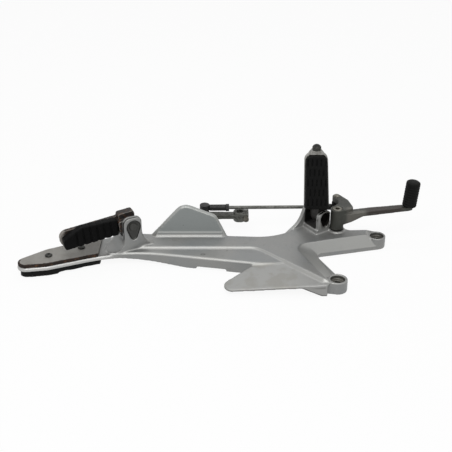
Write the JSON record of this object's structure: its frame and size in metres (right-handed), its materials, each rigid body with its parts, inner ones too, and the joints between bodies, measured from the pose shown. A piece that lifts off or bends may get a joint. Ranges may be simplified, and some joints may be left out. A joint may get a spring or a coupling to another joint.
{
  "type": "motorcycle footrest hanger",
  "caption": "Left cast-aluminium footrest hanger with folding rider and passenger pegs, heel guards and a gear lever linked by a rod to a clamp arm.",
  "frame": {"origin": "centre of the upper front bolt hole on the inboard mounting face", "axes": "+Z outboard along the bolts, +X towards the front of the machine along the beam, +Y towards the ground; the part lies on its inboard side at Z = 0"},
  "size_m": [0.5475, 0.19, 0.153],
  "materials": {
    "cast_aluminium": "satin silver coat over sand-soft cast edges",
    "worn_plate": "scuffed grey coat, rust along the edge",
    "black_rubber": "matt, dusty",
    "zinc_steel": "dull zinc plate",
    "spring_steel": "oiled wire",
    "peg_casting": "worn silver coat",
    "dark_steel": "dull, dark",
    "rusty_steel": "black coat with rust",
    "worn_lever_steel": "dirty, brown at the edges",
    "bush_bronze": "plain"
  },
  "bodies": {
    "hanger": {"hanger_casting": "cast_aluminium", "rear_cover_plate": "worn_plate", "rear_pad": "black_rubber", "plate_screws": "zinc_steel", "rider_peg_pin": "zinc_steel", "rider_pin_clip": "zinc_steel", "rider_peg_spring": "spring_steel", "passenger_peg_pin": "zinc_steel", "passenger_pin_clip": "zinc_steel", "lever_washer": "zinc_steel", "lever_seal": "black_rubber", "lever_pivot_bolt": "zinc_steel"},
    "rider_peg": {"rider_peg_body": "peg_casting", "rider_peg_rubber": "black_rubber", "rider_tread_screws": "zinc_steel", "rider_peg_feeler": "dark_steel"},
    "passenger_peg": {"passenger_peg_body": "rusty_steel", "passenger_peg_rubber": "black_rubber"},
    "gear_lever": {"shift_lever": "worn_lever_steel", "lever_bush": "bush_bronze", "toe_pin": "dark_steel", "toe_rubber": "black_rubber", "lever_ball_stud": "zinc_steel"},
    "linkage_rod": {"front_rod_end": "dark_steel", "front_rod_boot": "black_rubber", "front_locknut": "zinc_steel", "shift_rod": "dark_steel", "rear_locknut": "zinc_steel", "rear_rod_end": "dark_steel", "rear_rod_boot": "black_rubber"},
    "gearbox_arm": {"arm_ball_stud": "zinc_steel", "shift_arm": "dark_steel", "pinch_bolt": "zinc_steel"}
  },
  "joints": [
    {"name": "rider_peg_fold", "type": "hinge", "parent": "hanger", "child": "rider_peg", "pos_m": [-0.0157, 0.1322, 0.042], "axis": [0.5505, -0.8348, 0], "range_deg": [0, 70], "stiffness_Nm_per_rad": 0.25, "springref_deg": -68.75},
    {"name": "passenger_peg_fold", "type": "hinge", "parent": "hanger", "child": "passenger_peg", "pos_m": [-0.2755, 0.0895, 0.052], "axis": [0.4226, -0.9063, 0], "range_deg": [-95, 0]},
    {"name": "gear_lever_turn", "type": "hinge", "parent": "hanger", "child": "gear_lever", "pos_m": [0.0105, 0.124, 0.038], "axis": [0, 0, 1], "range_deg": [-15, 7]},
    {"name": "rod_swing", "type": "hinge", "parent": "gear_lever", "child": "linkage_rod", "pos_m": [0.0135, 0.165, 0.036], "axis": [0, 0, 1], "range_deg": [-30, 5]},
    {"name": "arm_swing", "type": "hinge", "parent": "linkage_rod", "child": "gearbox_arm", "pos_m": [-0.17498, 0.16204, 0.036], "axis": [0, 0, 1], "range_deg": [-15, 150]}
  ]
}
